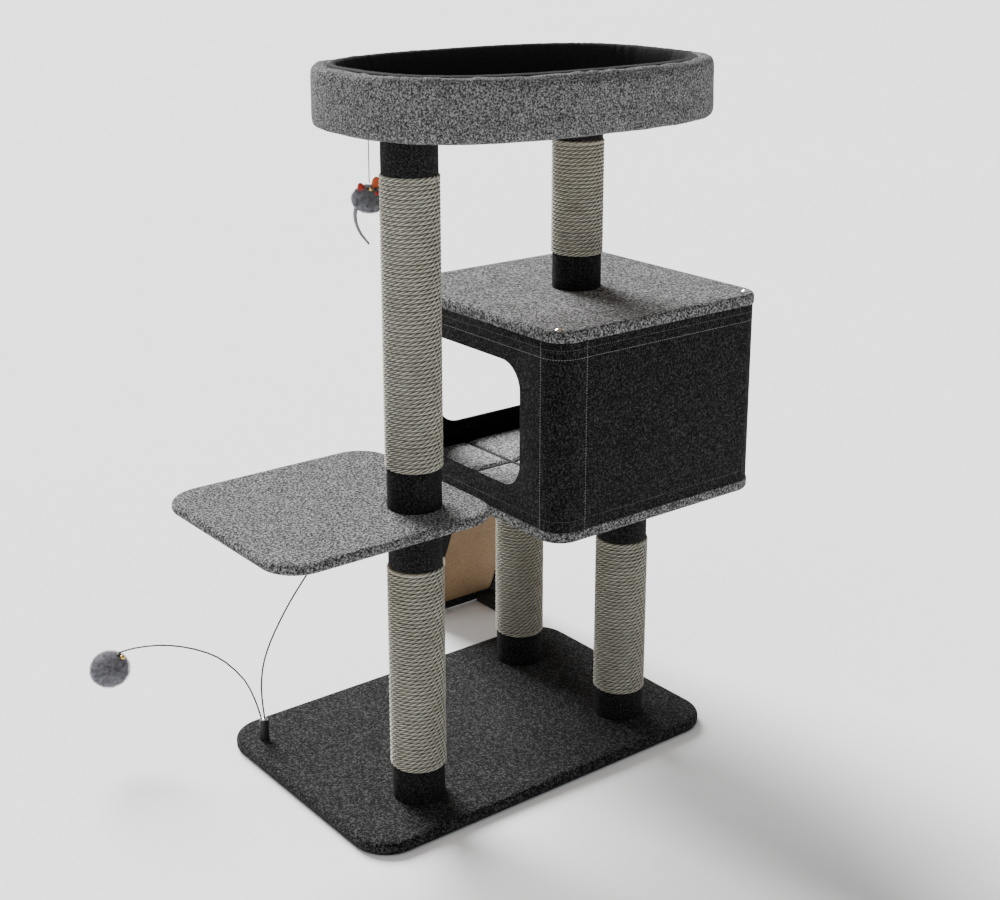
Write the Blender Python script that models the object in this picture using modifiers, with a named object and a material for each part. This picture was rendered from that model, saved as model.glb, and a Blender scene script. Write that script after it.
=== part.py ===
"""Cat tree: base, five sisal posts, shelf, condo, perch, ramp and two hanging or sprung toys.

Metres, +Z up.  The origin is the centre of the base's underside, which stands on the floor.
+X runs along the base's long side towards the condo, +Y towards the ramp.
"""
import math

import bmesh
import bpy
from mathutils import Vector

# ---------------------------------------------------------------- driving dimensions
GAP = 0.0003                # between pieces that touch
FELT = 0.0025               # thickness of a board's felt cover
HEM = 0.023                 # width of the felt folded under a board
COVER_EASE = 0.003          # chamfer along a covered board's edges

BASE_SIZE = (0.708, 0.474)
BASE_THICK = 0.021
BASE_CORNER = 0.062

SHELF_CENTRE = (-0.298, -0.043)
SHELF_SIZE = (0.388, 0.376)
SHELF_BOTTOM = 0.494
SHELF_THICK = 0.017
SHELF_CORNER = 0.060

CONDO_CENTRE = (0.247, 0.0257)
CONDO_SIZE = (0.456, 0.460)
CONDO_CORNER = 0.042
FLOOR_BOTTOM = 0.405
FLOOR_THICK = 0.019
ROOF_BOTTOM = 0.738
ROOF_THICK = 0.019
WALL_INSET = 0.002
WALL_THICK = 0.005
DOOR_MARGIN = 0.0975        # from the condo's corner to the doorway, level
DOOR_SILL = 0.049           # from the floor board up to the doorway
DOOR_HEIGHT = 0.213
DOOR_CORNER = 0.046
DOWEL_INSET = 0.0225
DOWEL_RADIUS = 0.007
MAT_INSET = 0.013
MAT_CORNER = 0.060
MAT_THICK = 0.016

PERCH_CENTRE = (0.062, -0.048)
PERCH_HALF = (0.3236, 0.2255)
PERCH_POWER = 2.8           # exponent of the perch's superellipse outline
PERCH_BOTTOM = 1.068
PERCH_TOP = 1.167
PERCH_BOARD_THICK = 0.015
PERCH_BOARD_INSET = 0.010
RIM_WIDTH = 0.036
CUSHION_THICK = 0.021
CUSHION_ROOM = 0.002        # between the rim and the cushion
CUSHION_EASE = 0.007
PERCH_BOARD_EASE = 0.001

ROPE_RADIUS = 0.0445        # outside the wound sisal rope
COLLAR_RADIUS = 0.0418
TUBE_RADIUS = 0.0385
TUBE_WALL = 0.004
TUBE_END = 0.012            # disc that closes each end of a tube
ROUND_STEPS = 24
PERCH_STEPS = 40            # points round the perch's outline

BOLT_RADIUS = 0.004
BOLT_HEAD_RADIUS = 0.008
BOLT_HEAD_THICK = 0.0045
BOLT_REACH = 0.030          # length of a bolt inside a post
BOLT_HOLE = 0.0045
BOLT_HEAD_HOLE = 0.0090
SCREW_RADIUS = 0.0018
SCREW_HEAD_RADIUS = 0.0080
SCREW_HEAD_THICK = 0.0026
SCREW_LENGTH = 0.040
SCREW_HOLE = 0.0022

RAMP_LEFT = 0.190
RAMP_WIDTH = 0.200
RAMP_THICK = 0.017
RAMP_HINGE_GAP = 0.004      # from the condo floor's edge to the ramp's hinge line
RAMP_FOOT_Y = 0.426         # where the ramp's underside meets the floor
RAMP_CORNER = 0.012
FOOT_LEFT = 0.3336
FOOT_WIDTH = 0.040
FOOT_HEIGHT = 0.016
FOOT_START_Y = 0.356
FOOT_EASE = 0.006

WAND_PLACE = (-0.313, 0.167)
WAND_HOLDER_RADIUS = 0.008
WAND_HOLDER_HEIGHT = 0.035
HOLDER_EASE = 0.001
WAND_RIGHT = (0.7956, -0.6058)   # level direction of the plane in which both wires bend
WIRE_RADIUS = 0.001
WIRE_ASIDE = 0.003          # each wire's plane stands this far from the holder's axis
WIRE_SPANS = 2              # curve points from one of a route's points to the next
# Routes of the two spring wires: (distance to the right of the holder, height above the floor).
WIRE_1_ROUTE = (
    (-0.003, 0.0575), (-0.007, 0.074), (-0.014, 0.098), (-0.029, 0.132), (-0.059, 0.165),
    (-0.090, 0.183), (-0.130, 0.194), (-0.170, 0.197), (-0.210, 0.192), (-0.236, 0.184),
)
WIRE_2_ROUTE = (
    (0.001, 0.0575), (-0.002, 0.097), (-0.001, 0.132), (0.005, 0.166), (0.017, 0.201),
    (0.033, 0.236), (0.050, 0.269), (0.070, 0.303), (0.094, 0.340), (0.122, 0.374),
    (0.140, 0.394),
)
POMPOM_RADIUS = 0.0315
POMPOM_1 = (-0.2535, 0.154)
POMPOM_2 = (0.156, 0.424)

MOUSE_PLACE = (-0.2045, -0.030)
MOUSE_HEIGHT = 0.9675       # of the mouse's middle
MOUSE_HALF = (0.030, 0.021, 0.0235)
CORD_RADIUS = 0.0008
CORD_SPANS = 6

# Each post: centre, tube's bottom and top, and the stretch that carries rope.
POSTS = {
    "post_a_lower": dict(at=(-0.203, -0.133), ends=(BASE_THICK, SHELF_BOTTOM + FELT),
                         rope=(0.0785, 0.416)),
    "post_a_upper": dict(at=(-0.203, -0.133), ends=(SHELF_BOTTOM + SHELF_THICK, PERCH_BOTTOM),
                         rope=(0.5755, 1.0185)),
    "post_b": dict(at=(0.220, 0.140), ends=(BASE_THICK, FLOOR_BOTTOM + FELT),
                   rope=(0.0800, 0.351)),
    "post_c": dict(at=(0.229, -0.1275), ends=(BASE_THICK, FLOOR_BOTTOM + FELT),
                   rope=(0.0725, 0.351)),
    "post_d": dict(at=(0.249, 0.0228), ends=(ROOF_BOTTOM + ROOF_THICK, PERCH_BOTTOM),
                   rope=(0.8175, 1.0115)),
}


# ---------------------------------------------------------------- scene and materials
for old in list(bpy.data.objects):
    bpy.data.objects.remove(old, do_unlink=True)

PARTS = bpy.data.collections.new("cat_tree")
CUTTERS = bpy.data.collections.new("cutters")
bpy.context.scene.collection.children.link(PARTS)
bpy.context.scene.collection.children.link(CUTTERS)


def material(name, colour, roughness, metallic=0.0):
    """A Principled material in one colour."""
    made = bpy.data.materials.new(name)
    made.use_nodes = True
    shader = made.node_tree.nodes["Principled BSDF"]
    shader.inputs["Base Color"].default_value = (*colour, 1.0)
    shader.inputs["Roughness"].default_value = roughness
    shader.inputs["Metallic"].default_value = metallic
    made.diffuse_color = (*colour, 1.0)
    return made


def light_felt(name):
    return material(name, (0.23, 0.23, 0.24), 0.95)


def dark_felt(name):
    return material(name, (0.022, 0.022, 0.024), 0.95)


def raw_board(name):
    return material(name, (0.20, 0.13, 0.075), 0.8)


def steel(name):
    return material(name, (0.62, 0.62, 0.63), 0.35, 1.0)


# ---------------------------------------------------------------- modelling helpers
def add_object(name, mesh, finish, place=(0, 0, 0)):
    """One named sub-part with its own material."""
    part = bpy.data.objects.new(name, mesh)
    part.location = place
    mesh.materials.clear()
    mesh.materials.append(finish)
    PARTS.objects.link(part)
    return part


def cut(part, cutter_mesh, place, name, operation="DIFFERENCE"):
    """Take a hidden cutter's shape out of a part, or join it on."""
    cutter = bpy.data.objects.new(name, cutter_mesh)
    cutter.location = place
    cutter.hide_render = True
    cutter.display_type = "WIRE"
    CUTTERS.objects.link(cutter)
    boolean = part.modifiers.new(name, "BOOLEAN")
    boolean.operation = operation
    boolean.solver = "EXACT"
    boolean.object = cutter
    return cutter


def slab_mesh(size, thick, corner, edge=0.0, corner_steps=5, edge_steps=1):
    """A board lying flat, its middle at the origin: upright corners round, level edges eased."""
    mesh = bpy.data.meshes.new("slab")
    bm = bmesh.new()
    bmesh.ops.create_cube(bm, size=1.0)
    bmesh.ops.scale(bm, vec=(size[0], size[1], thick), verts=bm.verts)
    upright = [e for e in bm.edges if abs(e.verts[0].co.z - e.verts[1].co.z) > thick / 2]
    bmesh.ops.bevel(bm, geom=upright, offset=corner, segments=corner_steps, profile=0.5,
                    affect="EDGES")
    if edge > 0:
        level = [e for e in bm.edges if abs(e.calc_face_angle(0) - math.pi / 2) < 0.1
                 and abs(e.verts[0].co.z - e.verts[1].co.z) < thick / 4]
        bmesh.ops.bevel(bm, geom=level, offset=edge, segments=edge_steps, profile=0.5,
                        affect="EDGES")
    bm.to_mesh(mesh)
    bm.free()
    return mesh


def drum_mesh(radius, low, high, steps=16):
    """An upright cylinder from low to high."""
    mesh = bpy.data.meshes.new("drum")
    bm = bmesh.new()
    bmesh.ops.create_cone(bm, cap_ends=True, segments=steps, radius1=radius, radius2=radius,
                          depth=high - low)
    bmesh.ops.translate(bm, vec=(0, 0, (low + high) / 2), verts=bm.verts)
    bm.to_mesh(mesh)
    bm.free()
    return mesh


def turned(name, profile, finish, place, steps=ROUND_STEPS, closed=False):
    """A turned piece: (radius, height) points, running down the outer side."""
    mesh = bpy.data.meshes.new(name)
    points = [(radius, 0.0, height) for radius, height in profile]
    edges = [(i, i + 1) for i in range(len(points) - 1)]
    if closed:
        edges.append((len(points) - 1, 0))
    mesh.from_pydata(points, edges, [])
    part = add_object(name, mesh, finish, place)
    screw = part.modifiers.new("turn", "SCREW")
    screw.axis = "Z"
    screw.angle = 2 * math.pi
    screw.steps = steps
    screw.render_steps = steps
    screw.use_merge_vertices = True
    screw.merge_threshold = 0.00001
    screw.use_smooth_shade = True
    return part


def sleeve(name, inner, outer, low, high, finish, place):
    """A hollow round sleeve."""
    profile = [(outer, high), (outer, low), (inner, low), (inner, high)]
    return turned(name, profile, finish, place, closed=True)


def smooth_route(route, per_span):
    """Points on a Catmull-Rom curve through a route's own points."""
    ends = [2 * route[0] - route[1], *route, 2 * route[-1] - route[-2]]
    points = []
    for i in range(1, len(ends) - 2):
        a, b, c, d = ends[i - 1:i + 3]
        for step in range(per_span):
            t = step / per_span
            points.append(0.5 * (2 * b + (c - a) * t + (2 * a - 5 * b + 4 * c - d) * t * t
                                 + (3 * b - a - 3 * c + d) * t ** 3))
    points.append(route[-1])
    return points


def wire(name, points, radius, finish):
    """A round wire or cord along a list of points."""
    curve = bpy.data.curves.new(name, "CURVE")
    curve.dimensions = "3D"
    curve.bevel_depth = radius
    curve.bevel_resolution = 2
    curve.use_fill_caps = True
    spline = curve.splines.new("POLY")
    spline.points.add(len(points) - 1)
    for knot, point in zip(spline.points, points):
        knot.co = (*point, 1.0)
    curve.materials.append(finish)
    part = bpy.data.objects.new(name, curve)
    PARTS.objects.link(part)
    return part


def pivot(name, place):
    """An empty on a joint's axis, for the pieces that move with it."""
    empty = bpy.data.objects.new(name, None)
    empty.location = place
    empty.empty_display_size = 0.03
    PARTS.objects.link(empty)
    return empty


def hang(part, parent):
    """Parent a piece to an empty and leave it where it is."""
    part.parent = parent
    part.location = part.location - parent.location


def wand_point(right, height, aside):
    """A point in the upright plane in which a spring wire bends, aside from the holder's axis."""
    return Vector((WAND_PLACE[0] + WAND_RIGHT[0] * right - WAND_RIGHT[1] * aside,
                   WAND_PLACE[1] + WAND_RIGHT[1] * right + WAND_RIGHT[0] * aside, height))


# ---------------------------------------------------------------- boards and their felt covers
def core_size(size):
    return (size[0] - 2 * (FELT + GAP), size[1] - 2 * (FELT + GAP))


def covered_board(name, centre, size, bottom, thick, corner, felt, holes=(), stands=False):
    """A raw board and the felt pulled over it: over the top and edges, hemmed under the border.

    holes: (x, y, radius, low, high), drilled through whatever lies there.
    stands: the hem lies in a rebate, so that the board's own underside is the lowest face.
    """
    middle = (centre[0], centre[1], bottom + thick / 2)
    core_thick = thick - 2 * (FELT + GAP)
    window = (size[0] - 2 * HEM, size[1] - 2 * HEM)
    window_corner = max(corner - HEM, 0.006)
    inner_corner = corner - FELT - GAP
    board = add_object(f"{name}_board", slab_mesh(core_size(size), core_thick, inner_corner, 0.0),
                       raw_board(f"{name}_board"), middle)
    if stands:
        step_thick = thick - FELT - GAP
        step = slab_mesh((window[0] - 2 * GAP, window[1] - 2 * GAP), step_thick, window_corner)
        step.materials.append(board.data.materials[0])
        cut(board, step, (*middle[:2], bottom + step_thick / 2), f"{name}_step", "UNION")
    cover = add_object(f"{name}_cover", slab_mesh(size, thick, corner, COVER_EASE), felt, middle)
    pocket = slab_mesh((size[0] - 2 * FELT, size[1] - 2 * FELT), thick - 2 * FELT, corner - FELT)
    cut(cover, pocket, middle, f"{name}_pocket")
    cut(cover, slab_mesh(window, thick, window_corner), (*middle[:2], bottom), f"{name}_window")
    for number, (x, y, radius, low, high) in enumerate(holes, 1):
        for piece in (board, cover):
            cut(piece, drum_mesh(radius, low, high, 12), (x, y, 0), f"{piece.name}_hole_{number}")
    return board, cover


def bolt(name, place, head_end, tip):
    """A round-headed bolt, upright: head_end is the head's outer face, tip the far end."""
    way = 1 if tip > head_end else -1
    under = head_end + way * BOLT_HEAD_THICK
    profile = [(0, head_end), (BOLT_HEAD_RADIUS, head_end), (BOLT_HEAD_RADIUS, under),
               (BOLT_RADIUS, under), (BOLT_RADIUS, tip), (0, tip)]
    if way > 0:
        profile.reverse()
    return turned(name, profile, steel(name), (*place, 0), steps=14)


def roof_screw(name, place):
    """A wood screw with a domed head, driven down through the roof into a corner dowel."""
    top = ROOF_BOTTOM + ROOF_THICK + GAP
    head = SCREW_HEAD_RADIUS
    profile = [(0, top + SCREW_HEAD_THICK), (head * 0.6, top + SCREW_HEAD_THICK * 0.8),
               (head, top), (SCREW_RADIUS, top), (SCREW_RADIUS, top - SCREW_LENGTH + 0.004),
               (0, top - SCREW_LENGTH)]
    return turned(name, profile, steel(name), (*place, 0), steps=12)


def corners(centre, size, inset):
    """The four corners of a rectangle, moved in by an inset."""
    return [(centre[0] + sx * (size[0] / 2 - inset), centre[1] + sy * (size[1] / 2 - inset))
            for sx, sy in ((-1, -1), (1, -1), (1, 1), (-1, 1))]


POST_A = POSTS["post_a_lower"]["at"]
POST_B = POSTS["post_b"]["at"]
POST_C = POSTS["post_c"]["at"]
POST_D = POSTS["post_d"]["at"]
BASE_HEAD = 0.0006                      # a base bolt's head sits just above the floor
FLOOR_TOP = FLOOR_BOTTOM + FLOOR_THICK
ROOF_TOP = ROOF_BOTTOM + ROOF_THICK
SHELF_TOP = SHELF_BOTTOM + SHELF_THICK
PERCH_BOARD_TOP = PERCH_BOTTOM + PERCH_BOARD_THICK
HEAD_ROOM = BOLT_HEAD_THICK + GAP

# Base: bolts come up through it into posts A, B and C.
base_holes = []
for spot in (POST_A, POST_B, POST_C):
    base_holes.append((*spot, BOLT_HOLE, -0.01, BASE_THICK + 0.01))
    base_holes.append((*spot, BOLT_HEAD_HOLE, -0.01, BASE_HEAD + HEAD_ROOM))
covered_board("base", (0, 0), BASE_SIZE, 0, BASE_THICK, BASE_CORNER,
              dark_felt("base_cover"), base_holes, stands=True)
for letter, spot in (("a", POST_A), ("b", POST_B), ("c", POST_C)):
    bolt(f"base_bolt_{letter}", spot, BASE_HEAD, BASE_THICK + BOLT_REACH)

# Shelf: a stud joins the two lengths of post A through it.
covered_board("shelf", SHELF_CENTRE, SHELF_SIZE, SHELF_BOTTOM, SHELF_THICK, SHELF_CORNER,
              light_felt("shelf_cover"), [(*POST_A, BOLT_HOLE, SHELF_BOTTOM - 0.01, SHELF_TOP + 0.01)])
turned("shelf_stud", [(0, SHELF_TOP + BOLT_REACH), (BOLT_RADIUS, SHELF_TOP + BOLT_REACH),
                      (BOLT_RADIUS, SHELF_BOTTOM - BOLT_REACH), (0, SHELF_BOTTOM - BOLT_REACH)],
       steel("shelf_stud"), (*POST_A, 0), steps=14)

# Condo floor: bolts go down through it into posts B and C, their heads flush under the mat.
floor_holes = []
for spot in (POST_B, POST_C):
    floor_holes.append((*spot, BOLT_HOLE, FLOOR_BOTTOM - 0.01, FLOOR_TOP + 0.01))
    floor_holes.append((*spot, BOLT_HEAD_HOLE, FLOOR_TOP - HEAD_ROOM - GAP, FLOOR_TOP + 0.01))
covered_board("condo_floor", CONDO_CENTRE, CONDO_SIZE, FLOOR_BOTTOM, FLOOR_THICK, CONDO_CORNER,
              light_felt("condo_floor_cover"), floor_holes)
bolt("floor_bolt_b", POST_B, FLOOR_TOP - GAP, FLOOR_BOTTOM - BOLT_REACH)
bolt("floor_bolt_c", POST_C, FLOOR_TOP - GAP, FLOOR_BOTTOM - BOLT_REACH)

# Condo roof: a bolt goes up through it into post D, and a screw at each corner down into a dowel.
roof_holes = [(*POST_D, BOLT_HOLE, ROOF_BOTTOM - 0.01, ROOF_TOP + 0.01)]
dowel_spots = corners(CONDO_CENTRE, CONDO_SIZE, DOWEL_INSET)
for spot in dowel_spots:
    roof_holes.append((*spot, SCREW_HOLE, ROOF_BOTTOM - 0.01, ROOF_TOP + 0.01))
covered_board("condo_roof", CONDO_CENTRE, CONDO_SIZE, ROOF_BOTTOM, ROOF_THICK, CONDO_CORNER,
              light_felt("condo_roof_cover"), roof_holes)
bolt("roof_bolt", POST_D, ROOF_BOTTOM + FELT - BOLT_HEAD_THICK, ROOF_TOP + BOLT_REACH)
for number, spot in enumerate(dowel_spots, 1):
    roof_screw(f"roof_screw_{number}", spot)
    low = FLOOR_TOP + GAP
    high = ROOF_BOTTOM - GAP
    pilot = ROOF_TOP - SCREW_LENGTH - 0.002
    turned(f"corner_dowel_{number}",
           [(0, pilot), (SCREW_HOLE, pilot), (SCREW_HOLE, high), (DOWEL_RADIUS, high),
            (DOWEL_RADIUS, low), (0, low)],
           raw_board(f"corner_dowel_{number}"), (*spot, 0), steps=14)


# ---------------------------------------------------------------- condo wall and mat
def condo_wall():
    """One felt wall bent round four corners, with a doorway in its -X side and one in its +Y side."""
    low = FLOOR_TOP + GAP
    high = ROOF_BOTTOM - GAP
    size = (CONDO_SIZE[0] - 2 * WALL_INSET, CONDO_SIZE[1] - 2 * WALL_INSET)
    corner = CONDO_CORNER - WALL_INSET
    middle = (*CONDO_CENTRE, (low + high) / 2)
    wall = add_object("condo_wall", slab_mesh(size, high - low, corner, corner_steps=6),
                      dark_felt("condo_wall"), middle)
    room = (size[0] - 2 * WALL_THICK, size[1] - 2 * WALL_THICK)
    cut(wall, slab_mesh(room, 2 * (high - low), corner - WALL_THICK, corner_steps=6), middle, "condo_room")
    door_middle = FLOOR_TOP + DOOR_SILL + DOOR_HEIGHT / 2
    reach = 4 * CONDO_CORNER
    side_shape = slab_mesh((DOOR_HEIGHT, CONDO_SIZE[1] - 2 * DOOR_MARGIN), reach, DOOR_CORNER)
    side_door = cut(wall, side_shape,
                    (CONDO_CENTRE[0] - CONDO_SIZE[0] / 2, CONDO_CENTRE[1], door_middle), "door_side")
    side_door.rotation_euler = (0, math.pi / 2, 0)
    back_shape = slab_mesh((CONDO_SIZE[0] - 2 * DOOR_MARGIN, DOOR_HEIGHT), reach, DOOR_CORNER)
    back_door = cut(wall, back_shape,
                    (CONDO_CENTRE[0], CONDO_CENTRE[1] + CONDO_SIZE[1] / 2, door_middle), "door_back")
    back_door.rotation_euler = (math.pi / 2, 0, 0)
    return wall


condo_wall()
mat_size = (CONDO_SIZE[0] - 2 * MAT_INSET, CONDO_SIZE[1] - 2 * MAT_INSET)
add_object("condo_mat", slab_mesh(mat_size, MAT_THICK, MAT_CORNER, 0.006), light_felt("condo_mat"),
           (*CONDO_CENTRE, FLOOR_TOP + GAP + MAT_THICK / 2))


# ---------------------------------------------------------------- posts
def post(name, at, ends, rope):
    """A cardboard tube wound with sisal rope, with a felt collar at each end."""
    place = (*at, 0)
    low = ends[0] + GAP
    high = ends[1] - GAP
    outer = TUBE_RADIUS
    inner = TUBE_RADIUS - TUBE_WALL
    hole = BOLT_HOLE
    turned(f"{name}_tube",
           [(outer, high), (outer, low), (hole, low), (hole, low + TUBE_END), (inner, low + TUBE_END),
            (inner, high - TUBE_END), (hole, high - TUBE_END), (hole, high)],
           material(f"{name}_tube", (0.30, 0.21, 0.13), 0.85), place, closed=True, steps=16)
    skin = TUBE_RADIUS + GAP + 0.0004
    sleeve(f"{name}_rope", skin, ROPE_RADIUS, rope[0], rope[1],
           material(f"{name}_rope", (0.42, 0.40, 0.33), 0.9), place)
    sleeve(f"{name}_collar_low", skin, COLLAR_RADIUS, low, rope[0] - GAP,
           dark_felt(f"{name}_collar_low"), place)
    sleeve(f"{name}_collar_top", skin, COLLAR_RADIUS, rope[1] + GAP, high,
           dark_felt(f"{name}_collar_top"), place)


for post_name, facts in POSTS.items():
    post(post_name, **facts)


# ---------------------------------------------------------------- perch
def superellipse(inset):
    """The perch's outline, moved in by an inset, as (x, y) points from its centre."""
    points = []
    for i in range(PERCH_STEPS):
        turn = 2 * math.pi * i / PERCH_STEPS
        along = math.copysign(abs(math.cos(turn)) ** (2 / PERCH_POWER), math.cos(turn))
        across = math.copysign(abs(math.sin(turn)) ** (2 / PERCH_POWER), math.sin(turn))
        points.append(((PERCH_HALF[0] - inset) * along, (PERCH_HALF[1] - inset) * across))
    return points


def perch_slab(name, inset, low, high, finish, edge):
    """A flat piece in the perch's outline, its edges eased."""
    mesh = bpy.data.meshes.new(name)
    bm = bmesh.new()
    ring = [bm.verts.new((x, y, low)) for x, y in superellipse(inset)]
    face = bm.faces.new(ring)
    raised = bmesh.ops.extrude_face_region(bm, geom=[face])
    top = [v for v in raised["geom"] if isinstance(v, bmesh.types.BMVert)]
    bmesh.ops.translate(bm, vec=(0, 0, high - low), verts=top)
    bmesh.ops.recalc_face_normals(bm, faces=bm.faces)
    rims = [e for e in bm.edges if abs(e.verts[0].co.z - e.verts[1].co.z) < 1e-6]
    bmesh.ops.bevel(bm, geom=rims, offset=edge, segments=1, profile=0.5, affect="EDGES")
    bm.to_mesh(mesh)
    bm.free()
    return add_object(name, mesh, finish, (*PERCH_CENTRE, 0))


def perch_bolster():
    """The padded band round the perch: a skirt outside the board and a round roll above it."""
    skirt = PERCH_BOARD_INSET - GAP
    seat = PERCH_BOARD_TOP + GAP
    roll = RIM_WIDTH / 2
    crown = PERCH_TOP - roll
    section = [(skirt, PERCH_BOTTOM + 0.001), (0.005, PERCH_BOTTOM), (0.001, PERCH_BOTTOM + 0.006),
               (0.0, PERCH_BOTTOM + 0.03)]
    for i in range(6):
        turn = math.pi * i / 5
        section.append((roll - roll * math.cos(turn), crown + roll * math.sin(turn)))
    section += [(RIM_WIDTH, seat), (skirt, seat)]
    mesh = bpy.data.meshes.new("perch_bolster")
    bm = bmesh.new()
    rings = [[bm.verts.new((x, y, height)) for x, y in superellipse(inset)] for inset, height in section]
    for k, ring in enumerate(rings):
        after = rings[(k + 1) % len(rings)]
        for i in range(PERCH_STEPS):
            j = (i + 1) % PERCH_STEPS
            bm.faces.new((ring[i], ring[j], after[j], after[i]))
    bmesh.ops.recalc_face_normals(bm, faces=bm.faces)
    bm.to_mesh(mesh)
    bm.free()
    return add_object("perch_bolster", mesh, light_felt("perch_bolster"), (*PERCH_CENTRE, 0))


perch_board = perch_slab("perch_board", PERCH_BOARD_INSET, PERCH_BOTTOM, PERCH_BOARD_TOP,
                         raw_board("perch_board"), PERCH_BOARD_EASE)
perch_bolster()
cushion_low = PERCH_BOARD_TOP + GAP
perch_slab("perch_cushion", RIM_WIDTH + CUSHION_ROOM, cushion_low, cushion_low + CUSHION_THICK,
           material("perch_cushion", (0.012, 0.012, 0.013), 0.9), CUSHION_EASE)
for letter, spot in (("a", POST_A), ("d", POST_D)):
    for radius, low in ((BOLT_HOLE, PERCH_BOTTOM - 0.01),
                        (BOLT_HEAD_HOLE, PERCH_BOARD_TOP - HEAD_ROOM - GAP)):
        cut(perch_board, drum_mesh(radius, low, PERCH_BOARD_TOP + 0.01, 12), (*spot, 0),
            f"perch_hole_{letter}")
    bolt(f"perch_bolt_{letter}", spot, PERCH_BOARD_TOP - GAP, PERCH_BOTTOM - BOLT_REACH)


# ---------------------------------------------------------------- ramp
def ramp():
    """A felt-covered board that leans from the condo floor's far edge to the floor, with its foot."""
    hinge = Vector((RAMP_LEFT + RAMP_WIDTH / 2,
                    CONDO_CENTRE[1] + CONDO_SIZE[1] / 2 + RAMP_HINGE_GAP, FLOOR_BOTTOM))
    landing = Vector((hinge.x, RAMP_FOOT_Y, 0))
    run = landing - hinge
    tilt = math.atan2(run.z, run.y)
    size = (RAMP_WIDTH, run.length)
    pieces = covered_board("ramp", (0, 0), size, 0, RAMP_THICK, RAMP_CORNER,
                           dark_felt("ramp_cover"))
    holder = pivot("ramp_hinge_line", hinge)
    tilted = list(pieces) + [o for o in CUTTERS.objects if o.name.startswith("ramp_")]
    for piece in tilted:
        piece.location = piece.location + Vector((0, run.length / 2, 0))
        piece.parent = holder
    holder.rotation_euler = (tilt, 0, 0)
    slope = run.y / -run.z
    near = RAMP_FOOT_Y - 2 * GAP
    outline = [(FOOT_START_Y, 0.0), (near, 0.0), (near - FOOT_HEIGHT * slope, FOOT_HEIGHT),
               (FOOT_START_Y + FOOT_EASE, FOOT_HEIGHT), (FOOT_START_Y, FOOT_HEIGHT - FOOT_EASE)]
    mesh = bpy.data.meshes.new("ramp_foot")
    bm = bmesh.new()
    side = bm.faces.new([bm.verts.new((-FOOT_WIDTH / 2, y, z)) for y, z in outline])
    pulled = bmesh.ops.extrude_face_region(bm, geom=[side])
    far = [v for v in pulled["geom"] if isinstance(v, bmesh.types.BMVert)]
    bmesh.ops.translate(bm, vec=(FOOT_WIDTH, 0, 0), verts=far)
    bmesh.ops.recalc_face_normals(bm, faces=bm.faces)
    bm.to_mesh(mesh)
    bm.free()
    add_object("ramp_foot", mesh, material("ramp_foot", (0.02, 0.02, 0.02), 0.7),
               (FOOT_LEFT + FOOT_WIDTH / 2, 0, 0))


ramp()


# ---------------------------------------------------------------- spring-wire wand
def pompom(name, centre):
    """A plain ball."""
    mesh = bpy.data.meshes.new(name)
    bm = bmesh.new()
    bmesh.ops.create_uvsphere(bm, u_segments=14, v_segments=9, radius=POMPOM_RADIUS)
    bm.to_mesh(mesh)
    bm.free()
    mesh.shade_smooth()
    return add_object(name, mesh, material(name, (0.28, 0.28, 0.30), 0.95), centre)


def wand(number, route, toy, aside, start):
    """One spring wire with its pompom, both hung on an empty at the wire's foot."""
    spring_foot = pivot(f"wand_{number}_pivot", wand_point(route[0][0], start, aside))
    path = smooth_route([wand_point(*spot, aside) for spot in route], WIRE_SPANS)
    strand = wire(f"wand_wire_{number}", [spot - spring_foot.location for spot in path],
                  WIRE_RADIUS, material(f"wand_wire_{number}", (0.015, 0.015, 0.015), 0.4, 0.6))
    strand.parent = spring_foot
    hang(pompom(f"pompom_{number}", wand_point(*toy, aside)), spring_foot)


holder_low = BASE_THICK + GAP
holder_top = holder_low + WAND_HOLDER_HEIGHT
turned("wand_holder",
       [(0, holder_top), (WAND_HOLDER_RADIUS - HOLDER_EASE, holder_top),
        (WAND_HOLDER_RADIUS, holder_top - HOLDER_EASE), (WAND_HOLDER_RADIUS, holder_low),
        (0, holder_low)],
       material("wand_holder", (0.01, 0.01, 0.01), 0.6), (*WAND_PLACE, 0), steps=20)
wand(1, WIRE_1_ROUTE, POMPOM_1, -WIRE_ASIDE, holder_top)
wand(2, WIRE_2_ROUTE, POMPOM_2, WIRE_ASIDE, holder_top)


# ---------------------------------------------------------------- mouse on its cord
def mouse():
    """A plush mouse that hangs from the perch's underside on a thin cord."""
    top = MOUSE_HEIGHT + MOUSE_HALF[2] + GAP
    start = PERCH_BOTTOM - GAP - CORD_RADIUS
    drop = top + GAP - start
    knots = [Vector((*MOUSE_PLACE, start + drop * i / CORD_SPANS)) for i in range(CORD_SPANS + 1)]
    wire("mouse_cord", knots, CORD_RADIUS, material("mouse_cord", (0.15, 0.15, 0.16), 0.8))
    mesh = bpy.data.meshes.new("mouse_body")
    bm = bmesh.new()
    bmesh.ops.create_uvsphere(bm, u_segments=14, v_segments=9, radius=1.0)
    bmesh.ops.scale(bm, vec=MOUSE_HALF, verts=bm.verts)
    bm.to_mesh(mesh)
    bm.free()
    mesh.shade_smooth()
    body = add_object("mouse_body", mesh, material("mouse_body", (0.22, 0.22, 0.24), 0.95),
                      (*MOUSE_PLACE, MOUSE_HEIGHT))
    body.rotation_euler = (0, 0, math.atan2(WAND_RIGHT[1], WAND_RIGHT[0]))


mouse()
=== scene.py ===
import math
import random

import bmesh
import bpy
import numpy as np
from mathutils import Matrix, Vector, noise


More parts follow.
